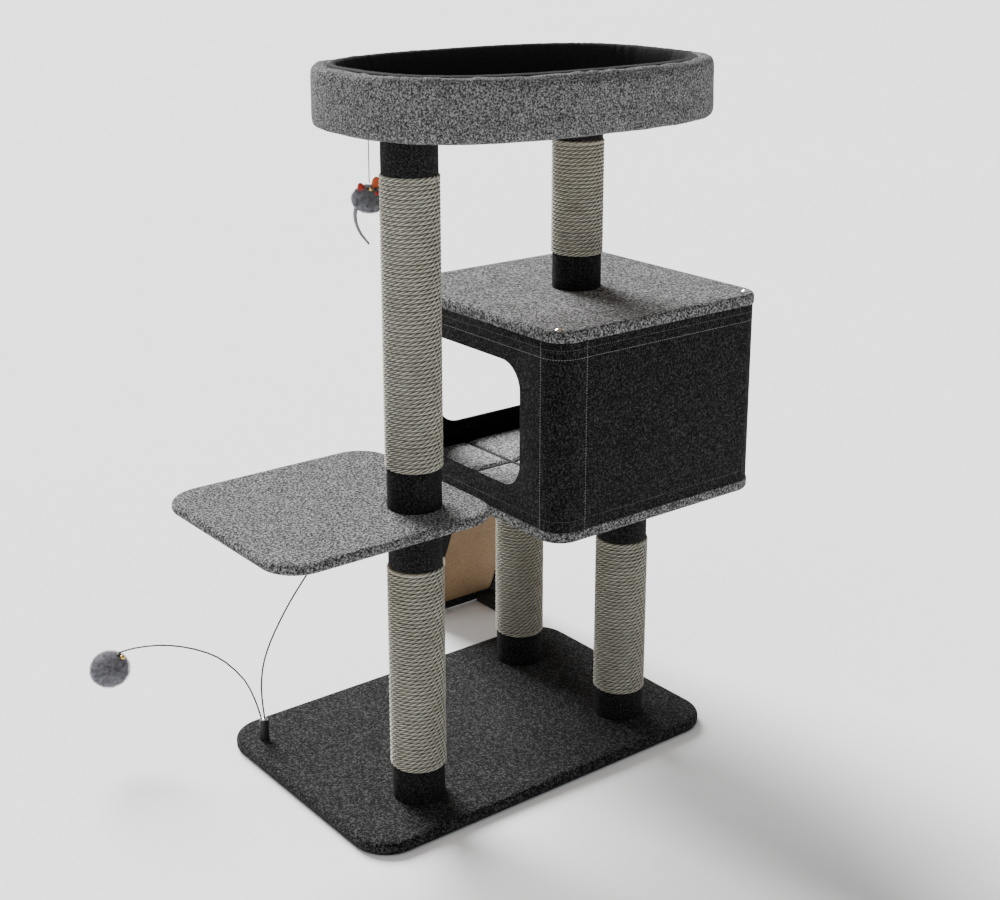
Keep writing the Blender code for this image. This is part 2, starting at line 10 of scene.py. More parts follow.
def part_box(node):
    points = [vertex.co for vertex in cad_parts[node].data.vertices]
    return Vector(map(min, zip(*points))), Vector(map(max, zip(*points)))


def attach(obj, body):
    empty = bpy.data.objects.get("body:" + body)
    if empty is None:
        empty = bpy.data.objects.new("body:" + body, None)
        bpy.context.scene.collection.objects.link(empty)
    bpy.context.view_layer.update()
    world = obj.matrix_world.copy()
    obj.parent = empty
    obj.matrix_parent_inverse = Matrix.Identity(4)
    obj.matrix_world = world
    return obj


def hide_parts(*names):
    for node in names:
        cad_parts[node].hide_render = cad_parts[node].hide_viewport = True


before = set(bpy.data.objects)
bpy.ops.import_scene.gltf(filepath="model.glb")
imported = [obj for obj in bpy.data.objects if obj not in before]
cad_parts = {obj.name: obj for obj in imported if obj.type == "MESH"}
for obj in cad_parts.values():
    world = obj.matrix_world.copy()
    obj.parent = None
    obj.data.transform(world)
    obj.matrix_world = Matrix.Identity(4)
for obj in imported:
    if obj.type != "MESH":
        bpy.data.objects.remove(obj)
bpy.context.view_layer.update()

# ---------------------------------------------------------------- sizes
FELT = 0.0025               # thickness of the felt over a board
HEM = 0.023                 # felt folded under a board
BOARD_EDGE = 0.0075         # radius of a felt-covered board's edges
SQUARE_EDGE = 0.0018        # the same where the condo's wall stands against the board
BASE_CORNER = 0.062
SHELF_CORNER = 0.060
CONDO_CORNER = 0.042
WALL_CORNER = 0.040
WALL_THICK = 0.005
DOOR_MARGIN = 0.0975        # from the condo's corner to a doorway, level
DOOR_SILL = 0.049
DOOR_HEIGHT = 0.213
DOOR_CORNER = 0.046
MAT_CORNER = 0.060
LEAST_CORNER = 0.002        # a corner that an inset would make sharper keeps this radius
PERCH_POWER = 2.8           # exponent of the perch's superellipse outline
RIM_WIDTH = 0.036           # the perch's padded rim, across
BOARD_INSET = 0.010         # from the rim's outside to the perch board's edge
ROPE_TURN = 0.0063          # height of one turn of rope
ROPE_LAY = 0.031            # length of rope in which its strands twist once
ROPE_SIDES = 9              # three to a strand: a groove and two rounds
TURN_STEPS = 76             # points along one turn of rope
STITCH = 0.0026             # visible length of one stitch
STITCH_STEP = 0.0045        # from one stitch to the next
MAT_PITCH = 0.150           # from one sewn channel of the mat to the next
MAT_CHANNEL = 0.0065        # reach of a channel's dip to each side
MAT_STITCH_STEP = 0.0055
CAMERA_RIGHT = Vector((0.7956, -0.6058, 0))     # level direction across the view
TOWARDS_CAMERA = Vector((-0.6058, -0.7956, 0))
WIRE_COAT = 0.0004          # plastic over the spring wire
GOLDEN_ANGLE = 2.399963     # turn from one fibre of a ball to the next

# ---------------------------------------------------------------- cloth simulation
SWELL_FRAMES = 20
SWELL_PRESSURE = 4.0


# ---------------------------------------------------------------- materials
class Finish:
    """A procedural material, built round one Principled shader."""

    def __init__(self, name, roughness, metallic=0.0, specular=0.5, sheen=0.0, sheen_rough=0.5):
        self.material = bpy.data.materials.new(name)
        self.material.use_nodes = True
        self.tree = self.material.node_tree
        self.shader = self.tree.nodes["Principled BSDF"]
        for socket, value in (("Roughness", roughness), ("Metallic", metallic),
                              ("Specular IOR Level", specular), ("Sheen Weight", sheen),
                              ("Sheen Roughness", sheen_rough)):
            self.shader.inputs[socket].default_value = value
        self.place = self.tree.nodes.new("ShaderNodeTexCoord").outputs["Object"]

    def link(self, source, target):
        self.tree.links.new(source, target)

    def stretched(self, source, scale):
        """Coordinates scaled along each axis."""
        node = self.tree.nodes.new("ShaderNodeMapping")
        node.inputs["Scale"].default_value = scale
        self.link(source, node.inputs["Vector"])
        return node.outputs["Vector"]

    def noise(self, scale, detail=2.0, roughness=0.5, source=None):
        """Cloudy noise from 0 to 1, over the object's own coordinates unless it has a source."""
        node = self.tree.nodes.new("ShaderNodeTexNoise")
        node.inputs["Scale"].default_value = scale
        node.inputs["Detail"].default_value = detail
        node.inputs["Roughness"].default_value = roughness
        self.link(source or self.place, node.inputs["Vector"])
        return node.outputs["Fac"]

    def ramp(self, factor, *stops):
        """Colours at places along a factor from 0 to 1."""
        node = self.tree.nodes.new("ShaderNodeValToRGB")
        elements = node.color_ramp.elements
        while len(elements) < len(stops):
            elements.new(0.5)
        for element, (place, colour) in zip(elements, stops):
            element.position = place
            element.color = (*colour, 1.0)
        self.link(factor, node.inputs["Fac"])
        return node.outputs["Color"]

    def times(self, first, second):
        """Two colours multiplied."""
        node = self.tree.nodes.new("ShaderNodeMix")
        node.data_type = "RGBA"
        node.blend_type = "MULTIPLY"
        node.inputs[0].default_value = 1.0
        self.link(first, node.inputs[6])
        self.link(second, node.inputs[7])
        return node.outputs[2]

    def colour(self, source):
        self.link(source, self.shader.inputs["Base Color"])
        return self

    def rough(self, source):
        self.link(source, self.shader.inputs["Roughness"])
        return self

    def relief(self, height, strength, distance):
        """Fine bumps, distance metres high."""
        node = self.tree.nodes.new("ShaderNodeBump")
        node.inputs["Strength"].default_value = strength
        node.inputs["Distance"].default_value = distance
        self.link(height, node.inputs["Height"])
        self.link(node.outputs["Normal"], self.shader.inputs["Normal"])
        return self


def grey(level, warmth=0.0):
    """A grey, redder where warmth is above 0 and bluer where it is below."""
    return (level * (1 + warmth), level, level * (1 - warmth))


def felt(name, dark, middle, pale, grain=350.0, sheen=0.02):
    """Needle felt: fibres of several greys pressed together."""
    made = Finish(name, 0.95, specular=0.08, sheen=sheen, sheen_rough=0.6)
    fibres = made.noise(grain, 4.0, 0.82)
    cloud = made.noise(34.0, 2.0, 0.6)
    flecks = made.ramp(fibres, (0.41, grey(dark)), (0.50, grey(middle, -0.01)), (0.60, grey(pale)))
    shade = made.ramp(cloud, (0.3, grey(0.80)), (0.7, grey(1.0)))
    made.colour(made.times(flecks, shade))
    made.relief(fibres, 0.8, 0.0016)
    return made.material


def plush(name, dark, pale):
    """Short pile that catches light at its edges."""
    made = Finish(name, 0.9, specular=0.05, sheen=0.10, sheen_rough=0.35)
    pile = made.noise(700.0, 3.0, 0.7)
    made.colour(made.ramp(pile, (0.35, grey(dark)), (0.68, grey(pale))))
    made.relief(pile, 0.6, 0.0015)
    return made.material


def fur(name, root, tip):
    """Loose fibres, darker and lighter in tufts."""
    made = Finish(name, 0.75, specular=0.2, sheen=0.5)
    tufts = made.noise(170.0, 2.0, 0.6)
    made.colour(made.ramp(tufts, (0.34, root), (0.66, tip)))
    made.rough(made.ramp(tufts, (0.0, grey(0.65)), (1.0, grey(0.9))))
    return made.material


def sisal():
    """Natural rope: fibres that run with the strands, and painted shade that darkens the grooves between
    the strands.
    """
    made = Finish("sisal", 0.82, specular=0.2, sheen=0.15)
    along = made.tree.nodes.new("ShaderNodeUVMap")
    along.uv_map = "UVMap"
    fibre = made.noise(1.0, 3.0, 0.65, made.stretched(along.outputs["UV"], (110.0, 26.0, 1.0)))
    # painted shade: a per-point mask from the wound rope, 1 on the groove points between the strands
    groove_shade = made.tree.nodes.new("ShaderNodeAttribute")
    groove_shade.attribute_name = "groove_shade"
    worn = made.noise(28.0, 2.0, 0.6)
    threads = made.ramp(fibre, (0.36, (0.22, 0.21, 0.165)), (0.5, (0.54, 0.53, 0.435)),
                        (0.64, (0.86, 0.84, 0.72)))
    # painted shade: near black down in the grooves, where shade falls between the strands
    groove = made.ramp(groove_shade.outputs["Fac"], (0.0, (1, 1, 1)), (1.0, (0.022, 0.020, 0.016)))
    patches = made.ramp(worn, (0.3, (0.82, 0.81, 0.80)), (0.7, (1.0, 1.0, 1.0)))
    made.colour(made.times(made.times(threads, groove), patches))
    made.relief(fibre, 0.5, 0.0008)
    return made.material


def board_finish(name, dark, pale):
    """Raw fibreboard or softwood."""
    made = Finish(name, 0.8, specular=0.25)
    chips = made.noise(220.0, 4.0, 0.65)
    broad = made.noise(9.0, 3.0, 0.6)
    grain = made.ramp(chips, (0.3, dark), (0.7, pale))
    made.colour(made.times(grain, made.ramp(broad, (0.3, grey(0.82)), (0.7, grey(1.0)))))
    made.relief(chips, 0.25, 0.0006)
    return made.material


def metal(name, colour, roughness):
    """Plated or coated metal with fine wear."""
    made = Finish(name, roughness, metallic=1.0)
    wear = made.noise(260.0, 3.0, 0.6)
    darker = tuple(0.86 * c for c in colour)
    made.colour(made.ramp(wear, (0.3, darker), (0.7, colour)))
    made.rough(made.ramp(wear, (0.2, grey(roughness * 0.8)), (0.8, grey(min(1.0, roughness * 1.25)))))
    return made.material


def moulded(name, level):
    """Matt moulded plastic or rubber."""
    made = Finish(name, 0.55, specular=0.4)
    skin = made.noise(900.0, 2.0, 0.5)
    made.colour(made.ramp(skin, (0.3, grey(level * 0.8)), (0.7, grey(level * 1.2))))
    made.relief(skin, 0.15, 0.0003)
    return made.material


def thread(name, dark, pale):
    """Twisted sewing thread or thin braided cord."""
    made = Finish(name, 0.8, specular=0.2, sheen=0.2)
    twist = made.noise(1300.0, 2.0, 0.6)
    made.colour(made.ramp(twist, (0.3, dark), (0.7, pale)))
    made.relief(twist, 0.4, 0.0004)
    return made.material


LIGHT_FELT = felt("light_felt", 0.012, 0.080, 0.31)
BOARD_FELT = felt("light_felt_boards", 0.008, 0.070, 0.36, grain=290.0)
DARK_FELT = felt("dark_felt", 0.0006, 0.0030, 0.078, grain=310.0)
WALL_FELT = felt("wall_felt", 0.0004, 0.0018, 0.048, grain=310.0)
COLLAR_FELT = felt("collar_felt", 0.0015, 0.005, 0.036)
MAT_FELT = felt("mat_felt", 0.03, 0.19, 0.66, grain=290.0)
LINING = plush("black_plush", 0.006, 0.028)
SISAL = sisal()
RAW_BOARD = board_finish("raw_board", (0.20, 0.125, 0.065), (0.31, 0.205, 0.115))
DOWEL = board_finish("dowel_wood", (0.42, 0.30, 0.17), (0.60, 0.45, 0.28))
CARDBOARD = board_finish("cardboard", (0.10, 0.072, 0.045), (0.16, 0.115, 0.074))
ZINC = metal("zinc_bolt", (0.62, 0.62, 0.63), 0.35)
BRIGHT = metal("bright_screw", (0.82, 0.82, 0.83), 0.18)
BRASS = metal("brass_bell", (0.78, 0.52, 0.16), 0.25)
WIRE = moulded("spring_wire", 0.006)
BLACK = moulded("black_plastic", 0.014)
PALE_THREAD = thread("pale_thread", (0.16, 0.16, 0.16), (0.42, 0.42, 0.42))
DIM_THREAD = thread("dim_thread", (0.05, 0.05, 0.05), (0.15, 0.15, 0.15))
# near-black thread for the mat's seams, partly real thread and partly painted shade in the channel creases
SEAM_THREAD_AND_SHADE = thread("seam_thread_and_shade", (0.010, 0.010, 0.010), (0.035, 0.035, 0.035))
TOY_CORD = thread("toy_cord", (0.05, 0.05, 0.055), (0.13, 0.13, 0.14))
TAIL_CORD = thread("tail_cord", (0.09, 0.09, 0.10), (0.33, 0.33, 0.35))
RED_FELT = thread("red_felt", (0.20, 0.012, 0.010), (0.40, 0.035, 0.020))
ORANGE_FELT = thread("orange_felt", (0.40, 0.06, 0.02), (0.62, 0.13, 0.04))
GREY_FUR = fur("grey_fur", (0.10, 0.10, 0.115), (0.42, 0.42, 0.47))
MOUSE_FUR = fur("mouse_fur", (0.11, 0.11, 0.13), (0.40, 0.40, 0.45))


# ---------------------------------------------------------------- mesh helpers
def linked(name, data):
    """An object in the scene that shows a mesh, a lamp or a camera."""
    made = bpy.data.objects.new(name, data)
    bpy.context.scene.collection.objects.link(made)
    return made


def new_object(name, points, faces, smooth=True):
    """A mesh object whose faces all point out."""
    mesh = bpy.data.meshes.new(name)
    mesh.from_pydata([tuple(p) for p in points], [], faces)
    mesh.validate()
    made = linked(name, mesh)
    bm = bmesh.new()
    bm.from_mesh(mesh)
    bmesh.ops.recalc_face_normals(bm, faces=bm.faces)
    bm.to_mesh(mesh)
    bm.free()
    if smooth:
        mesh.shade_smooth()
    return made


def settle(obj, finish, body, slot, *stands_for):
    """Give a piece its material and its body, and hide the CAD nodes it stands for. slot: not used."""
    obj.data.materials.clear()
    obj.data.materials.append(finish)
    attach(obj, body)
    if stands_for:
        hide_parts(*stands_for)
    return obj


def loft(rings, loop=False):
    """Points and faces of a skin over rings that all have the same number of points.

    loop: the last ring joins the first. If not, both end rings are capped.
    """
    count = len(rings[0])
    points = [p for ring in rings for p in ring]
    faces = []
    for k in range(len(rings) if loop else len(rings) - 1):
        a, b = k * count, (k + 1) % len(rings) * count
        for i in range(count):
            j = (i + 1) % count
            faces.append((a + i, a + j, b + j, b + i))
    if not loop:
        last = (len(rings) - 1) * count
        faces.append(tuple(reversed(range(count))))
        faces.append(tuple(range(last, last + count)))
    return points, faces


def rounded(centre, size, corner, inset, steps):
    """A rectangle's outline with round corners, moved in by an inset."""
    half = (size[0] / 2 - inset, size[1] / 2 - inset)
    radius = max(corner - inset, LEAST_CORNER)
    points = []
    for n, (sx, sy) in enumerate(((1, 1), (-1, 1), (-1, -1), (1, -1))):
        for k in range(steps + 1):
            turn = math.pi / 2 * (n + k / steps)
            points.append((centre[0] + sx * (half[0] - radius) + radius * math.cos(turn),
                           centre[1] + sy * (half[1] - radius) + radius * math.sin(turn)))
    return points


def superellipse(centre, half, inset, count):
    """The perch's outline, moved in by an inset."""
    def reach(part):
        return math.copysign(abs(part) ** (2 / PERCH_POWER), part)

    points = []
    for i in range(count):
        turn = 2 * math.pi * i / count
        points.append((centre[0] + (half[0] - inset) * reach(math.cos(turn)),
                       centre[1] + (half[1] - inset) * reach(math.sin(turn))))
    return points


def at_height(outline, z):
    """A level outline as a ring of points."""
    return [(x, y, z) for x, y in outline]


def quarter_turn(radius, steps):
    """Points of a quarter round, each as its distances from the two sides that the round joins."""
    for k in range(steps + 1):
        turn = math.pi / 2 * k / steps
        yield radius * (1 - math.sin(turn)), radius * (1 - math.cos(turn))


def pillow(outline, low, high, edge):
    """Rings of a flat pad with round edges. outline: a function from an inset to the pad's outline."""
    rings = [at_height(outline(inset), low + rise) for inset, rise in quarter_turn(edge, 4)]
    rings += [at_height(outline(inset), high - drop) for drop, inset in quarter_turn(edge, 4)]
    return rings


def middle_of(lo, hi):
    return (lo + hi) / 2


def take_shape(obj):
    """Make what the modifiers show into the mesh itself."""
    graph = bpy.context.evaluated_depsgraph_get()
    graph.update()
    shape = bpy.data.meshes.new_from_object(obj.evaluated_get(graph))
    obj.modifiers.clear()
    obj.data = shape
    return obj


def coordinates(mesh):
    """A mesh's points as an array of rows."""
    values = np.empty(len(mesh.vertices) * 3)
    mesh.vertices.foreach_get("co", values)
    return values.reshape(-1, 3)


def reshape(mesh, rows):
    """Move a mesh's points to an array of rows."""
    mesh.vertices.foreach_set("co", rows.ravel())
    mesh.update()


def swollen(obj, voxel, cap, held):
    """Blow a padded piece up as cloth under pressure, and keep the shape it takes.

    cap: how far a point may move. held: a function of a point, true where the cloth is sewn down.
    """
    remesh = obj.modifiers.new("remesh", "REMESH")
    remesh.mode = "VOXEL"
    remesh.voxel_size = voxel
    take_shape(obj)
    start = coordinates(obj.data).copy()
    cloth = obj.modifiers.new("cloth", "CLOTH")
    cloth.settings.quality = 5
    cloth.settings.mass = 0.3
    cloth.settings.tension_stiffness = 12
    cloth.settings.compression_stiffness = 12
    cloth.settings.shear_stiffness = 5
    cloth.settings.bending_stiffness = 0.6
    cloth.settings.use_pressure = True
    cloth.settings.uniform_pressure_force = SWELL_PRESSURE
    cloth.settings.effector_weights.gravity = 0
    cloth.point_cache.frame_start = 1
    cloth.point_cache.frame_end = SWELL_FRAMES
    group = obj.vertex_groups.new(name="held")
    group.add([v.index for v in obj.data.vertices if held(v.co)], 1.0, "REPLACE")
    cloth.settings.vertex_group_mass = "held"
    for tick in range(1, SWELL_FRAMES + 1):
        bpy.context.scene.frame_set(tick)
    take_shape(obj)
    bpy.context.scene.frame_set(1)
    move = coordinates(obj.data) - start
    far = np.linalg.norm(move, axis=1, keepdims=True)
    reshape(obj.data, start + move * np.minimum(1.0, cap / np.maximum(far, 1e-9)))
    obj.vertex_groups.clear()
    smooth = obj.modifiers.new("smooth", "SMOOTH")
    smooth.factor = 0.5
    smooth.iterations = 2
    finer = obj.modifiers.new("finer", "SUBSURF")
    finer.levels = 1
    finer.render_levels = 1
    take_shape(obj)
    obj.data.shade_smooth()


def tube(path, radii):
    """Points and faces of a round tube along a path, with a radius at each point."""
    sides = 8
    rings = []
    side = None
    for i, spot in enumerate(path):
        ahead = (path[min(i + 1, len(path) - 1)] - path[max(i - 1, 0)]).normalized()
        if side is None:
            side = ahead.orthogonal().normalized()
        side = (side - ahead * side.dot(ahead)).normalized()
        up = ahead.cross(side)
        rings.append([spot + radii[i] * (math.cos(2 * math.pi * k / sides) * side
                                         + math.sin(2 * math.pi * k / sides) * up) for k in range(sides)])
    return loft(rings)


def curve_through(spots, per_span=8):
    """Points on a Catmull-Rom curve through spots."""
    ends = [2 * spots[0] - spots[1], *spots, 2 * spots[-1] - spots[-2]]
    points = []
    for i in range(1, len(ends) - 2):
        a, b, c, d = ends[i - 1:i + 3]
        for step in range(per_span):
            t = step / per_span
            points.append(0.5 * (2 * b + (c - a) * t + (2 * a - 5 * b + 4 * c - d) * t * t
                                 + (3 * b - a - 3 * c + d) * t ** 3))
    points.append(spots[-1])
    return points


# ---------------------------------------------------------------- felt-covered boards
def felt_cover(node, corner, finish, slot, under=BOARD_EDGE, over=BOARD_EDGE):
    """Felt pulled over a board and hemmed under its border. under, over: how round its two edges are.

    The profile starts below the top, inside the felt, and runs down to the hem and up the outside.
    """
    lo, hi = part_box(node)
    centre, size = middle_of(lo, hi), hi - lo
    flat = 0.005
    profile = [(FELT + 0.003, hi.z - FELT), (FELT, hi.z - FELT - 0.001), (FELT, lo.z + FELT),
               (HEM, lo.z + FELT), (HEM + 0.0004, lo.z + FELT / 2), (HEM, lo.z + 0.0002),
               (under + flat, lo.z)]
    profile += [(inset, lo.z + rise) for inset, rise in quarter_turn(under, 5)]
    profile += [(inset, hi.z - drop) for drop, inset in quarter_turn(over, 5)]
    profile.append((over + flat, hi.z))
    rings = [at_height(rounded(centre, size, corner, inset, 12), z) for inset, z in profile]
    settle(new_object(f"{node}_felt", *loft(rings)), finish, "root", slot, node)


felt_cover("base_cover", BASE_CORNER, DARK_FELT, "dark_felt")
felt_cover("shelf_cover", SHELF_CORNER, BOARD_FELT, "light_felt")
felt_cover("condo_floor_cover", CONDO_CORNER, BOARD_FELT, "light_felt", over=SQUARE_EDGE)
felt_cover("condo_roof_cover", CONDO_CORNER, BOARD_FELT, "light_felt", under=SQUARE_EDGE)


# ---------------------------------------------------------------- condo wall, its stitching and the mat
def doorway(name, middle, across, width):
    """A cutter in a doorway's shape. across is the level direction along the wall."""
    through = Vector((across.y, across.x, 0))
    outline = rounded((0, 0), (width, DOOR_HEIGHT), DOOR_CORNER, 0, 10)
    rings = [[middle + across * x + Vector((0, 0, z)) + through * depth for x, z in outline]
             for depth in (-4 * WALL_THICK, 4 * WALL_THICK)]
    return new_object(name, *loft(rings))


def condo_wall():
    """One sheet of thick felt bent round the condo's four corners, with two doorways."""
    lo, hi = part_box("condo_wall")
    centre, size = middle_of(lo, hi), hi - lo
    rings = [at_height(rounded(centre, size, WALL_CORNER, inset, 14), z)
             for inset, z in ((0, lo.z), (0, hi.z), (WALL_THICK, hi.z), (WALL_THICK, lo.z))]
    wall = new_object("condo_wall_felt", *loft(rings, loop=True), smooth=False)
    floor_lo, floor_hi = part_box("condo_floor_cover")
    level = floor_hi.z + DOOR_SILL + DOOR_HEIGHT / 2
    cutters = [doorway("door_side", Vector((lo.x, centre.y, level)), Vector((0, 1, 0)),
                       floor_hi.y - floor_lo.y - 2 * DOOR_MARGIN),
               doorway("door_ramp", Vector((centre.x, hi.y, level)), Vector((1, 0, 0)),
                       floor_hi.x - floor_lo.x - 2 * DOOR_MARGIN)]
    for cutter in cutters:
        hole = wall.modifiers.new(cutter.name, "BOOLEAN")
        hole.operation = "DIFFERENCE"
        hole.solver = "EXACT"
        hole.object = cutter
    take_shape(wall)
    for cutter in cutters:
        bpy.data.objects.remove(cutter, do_unlink=True)
    soft = wall.modifiers.new("soft edge", "BEVEL")
    soft.width = 0.0014
    soft.segments = 2
    soft.limit_method = "ANGLE"
    soft.angle_limit = math.radians(60)
    take_shape(wall)
    wall.data.shade_smooth()
    wall.data.set_sharp_from_angle(angle=math.radians(35))
    settle(wall, WALL_FELT, "root", "wall_felt", "condo_wall")


def wall_track():
    """Spans round the wall's outside: how far along each starts, where, its run, and the way it faces."""
    lo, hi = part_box("condo_wall")
    corner_points = rounded(middle_of(lo, hi), hi - lo, WALL_CORNER, 0, 24)
    spots, done = [], 0.0
    for i, here in enumerate(corner_points):
        there = corner_points[(i + 1) % len(corner_points)]
        leap = Vector((there[0] - here[0], there[1] - here[1], 0))
        out = Vector((leap.y, -leap.x, 0)).normalized()
        spots.append((done, Vector((*here, 0)), leap, out))
        done += leap.length
    return spots, done


def stitch(middle, along, out, points, faces, long=STITCH, wide=0.0008):
    """Add one stitch to points and faces: a short thread that narrows at both ends."""
    up = along.cross(out)
    sides = 5
    rings = []
    for place, swell in ((-0.5, 0.25), (-0.3, 1.0), (0.3, 1.0), (0.5, 0.25)):
        turns = [2 * math.pi * k / sides for k in range(sides)]
        rings.append([middle + along * place * long
                      + wide / 2 * swell * (math.cos(turn) * up + math.sin(turn) * out) for turn in turns])
    first = len(points)
    thread_points, thread_faces = loft(rings)
    points.extend(thread_points)
    faces.extend(tuple(first + corner for corner in face) for face in thread_faces)


def wall_stitching():
    """Rows of stitching.

    Dim rows run under the roof and above the floor, a pale one round the hem and one each side of the
    corner seam that the view meets first.
    """
    lo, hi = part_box("condo_wall")
    spots, whole = wall_track()
    up = Vector((0, 0, 1))
    pale, dim = ([], []), ([], [])
    for height, row in ((hi.z - 0.0119, dim), (hi.z - 0.0269, pale), (lo.z + 0.0181, dim)):
        track = iter(spots)
        start, here, leap, out = next(track)
        for n in range(int(whole / STITCH_STEP)):
            place = n * STITCH_STEP
            while place > start + leap.length:
                start, here, leap, out = next(track)
            spot = here + leap.normalized() * (place - start)
            stitch(spot + up * height, leap.normalized(), out, *row)
    seam_back, seam_front = 0.043, 0.059
    for place, out in ((Vector((lo.x, lo.y + seam_back, 0)), Vector((-1, 0, 0))),
                       (Vector((lo.x + seam_front, lo.y, 0)), Vector((0, -1, 0)))):
        for n in range(int((hi.z - lo.z) / STITCH_STEP)):
            stitch(place + up * (lo.z + (n + 0.5) * STITCH_STEP), up, out, *pale)
    settle(new_object("condo_wall_stitching", *pale), PALE_THREAD, "root", "wall_felt")
    settle(new_object("condo_wall_hem_stitching", *dim), DIM_THREAD, "root", "wall_felt")


def condo_mat():
    """A quilted mat: nine stuffed squares between sewn channels."""
    lo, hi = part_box("condo_mat")
    centre, size = middle_of(lo, hi), hi - lo
    inset = 0.003
    top = hi.z - 0.0055                 # before it swells
    rings = pillow(lambda more: rounded(centre, size, MAT_CORNER, inset + more, 8),
                   lo.z + 0.0008, top, 0.004)
    channels = [(axis, centre[axis] + side * MAT_PITCH / 2) for axis in (0, 1) for side in (-1, 1)]

    def sewn(point):
        low = point.z < centre.z - 0.001
        return low or any(abs(point[axis] - place) < 0.0028 for axis, place in channels)

    mat = new_object("condo_mat_quilt", *loft(rings))
    swollen(mat, 0.005, 0.0065, sewn)
    shape = coordinates(mat.data)
    dip = np.zeros(len(shape))
    for axis, place in channels:
        dip = np.maximum(dip, np.exp(-((shape[:, axis] - place) / MAT_CHANNEL) ** 2))
    shape[:, 2] -= np.where(shape[:, 2] > centre.z - 0.003, dip * 0.0060, 0.0)
    reshape(mat.data, shape)
    settle(mat, MAT_FELT, "mat", "mat_felt", "condo_mat")
    # The seams are partly real sewn thread and partly painted shade: near-black cords, wider than thread
    # and overlapping along each channel, darken the creases between the stuffed squares.
    points, faces = [], []
    for axis, place in channels:
        run = size[1 - axis] - 0.03
        along = Vector((0, 1, 0)) if axis == 0 else Vector((1, 0, 0))
        for n in range(int(run / MAT_STITCH_STEP)):
            spot = Vector((centre.x, centre.y, top - 0.0035))
            spot[axis] = place
            spot[1 - axis] += -run / 2 + (n + 0.5) * MAT_STITCH_STEP
            stitch(spot, along, Vector((0, 0, 1)), points, faces, long=0.0070, wide=0.0056)
    settle(new_object("condo_mat_seams_and_shade", points, faces), SEAM_THREAD_AND_SHADE, "mat", "mat_felt")


condo_wall()
wall_stitching()
condo_mat()


# ---------------------------------------------------------------- posts
def wound_rope(node):
    """Three-strand rope wound up a post, turn against turn."""
    lo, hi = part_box(node)
    centre = middle_of(lo, hi)
    outer = (hi.x - lo.x) / 2
    thick = 0.0030                      # half the rope's thickness
    core = outer - 2 * thick
    climb = (hi.z - lo.z - 2 * thick) / ROPE_TURN
    turns = climb + 2                   # a level turn at each end
    steps = int(turns * TURN_STEPS)
    go = np.linspace(0, turns, steps)
    angle = 2 * math.pi * go + 0.7
    length = go * 2 * math.pi * (core + thick)
    drift = np.array([noise.noise(Vector((s * 7.0, centre.x * 40, centre.y * 40))) for s in length])
    height = lo.z + thick + ROPE_TURN * np.clip(go - 1, 0, climb) + drift * 0.0004
    reach = core + thick + drift * 0.0003
    outward = np.stack([np.cos(angle), np.sin(angle), np.zeros(steps)], 1)
    middle = np.stack([centre.x + reach * outward[:, 0], centre.y + reach * outward[:, 1], height], 1)
    side = np.arange(ROPE_SIDES)
    lobe = side % 3
    radius = thick * np.array([0.60, 1.05, 1.05])[lobe]
    # painted shade mask: 1 on each strand's groove point, which the sisal finish paints near black, and
    # 0.12 on its two rounds
    shade = np.array([1.0, 0.12, 0.12])[lobe]
    turn = 2 * math.pi * (side[None, :] / ROPE_SIDES + length[:, None] / ROPE_LAY)
    points = (middle[:, None, :] + radius[None, :, None] * (np.cos(turn)[..., None] * outward[:, None, :]
              + np.sin(turn)[..., None] * np.array([0.0, 0.0, 1.0])))
    points = points.reshape(-1, 3)
    k, i = np.meshgrid(np.arange(steps - 1), side, indexing="ij")
    j = (i + 1) % ROPE_SIDES
    faces = np.stack([k * ROPE_SIDES + i, (k + 1) * ROPE_SIDES + i, (k + 1) * ROPE_SIDES + j,
                      k * ROPE_SIDES + j], -1).reshape(-1, 4)
    mesh = bpy.data.meshes.new(f"{node}_strands")
    ends = [tuple(range(ROPE_SIDES)), tuple(reversed(range((steps - 1) * ROPE_SIDES, steps * ROPE_SIDES)))]
    mesh.from_pydata(points.tolist(), [], faces.tolist() + ends)
    layer = mesh.uv_layers.new(name="UVMap")
    corners = [(k, i), (k + 1, i), (k + 1, i + 1), (k, i + 1)]
    skin = np.stack([np.stack([length[at], around / ROPE_SIDES], -1) for at, around in corners], 2)
    flat = np.zeros(len(layer.data) * 2)
    flat[:skin.size] = skin.ravel()
    layer.data.foreach_set("uv", flat)
    groove_shade = mesh.attributes.new("groove_shade", "FLOAT", "POINT")
    groove_shade.data.foreach_set("value", np.tile(shade, steps))
    mesh.shade_smooth()
    settle(linked(f"{node}_strands", mesh), SISAL, "root", "sisal_rope", node)


def collar(node):
    """A felt band glued round a post's end, its ends butted in one seam at the back."""
    lo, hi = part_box(node)
    centre = middle_of(lo, hi)
    outer = (hi.x - lo.x) / 2
    inner = outer - 0.0030
    soft = 0.0012                       # radius of the band's edges
    bevel = 0.3 * soft
    steps = 72
    rows = 6
    profile = [(inner, lo.z), (outer - soft, lo.z), (outer - bevel, lo.z + bevel)]
    profile += [(outer, lo.z + soft + (hi.z - lo.z - 2 * soft) * k / rows) for k in range(rows + 1)]
    profile += [(outer - bevel, hi.z - bevel), (outer - soft, hi.z), (inner, hi.z)]
    rings = []
    for radius, z in profile:
        ring = []
        for i in range(steps):
            turn = 2 * math.pi * i / steps + 0.9
            reach = radius
            if radius > inner:
                reach -= 0.0011 * math.exp(-((i - steps / 2) / 0.7) ** 2)
                reach += 0.0004 * noise.noise(Vector((math.cos(turn) * 3, math.sin(turn) * 3, z * 40)))
            ring.append((centre.x + reach * math.cos(turn), centre.y + reach * math.sin(turn), z))
        rings.append(ring)
    band = new_object(f"{node}_band", *loft(rings, loop=True))
    settle(band, COLLAR_FELT, "root", "collar_felt", node)


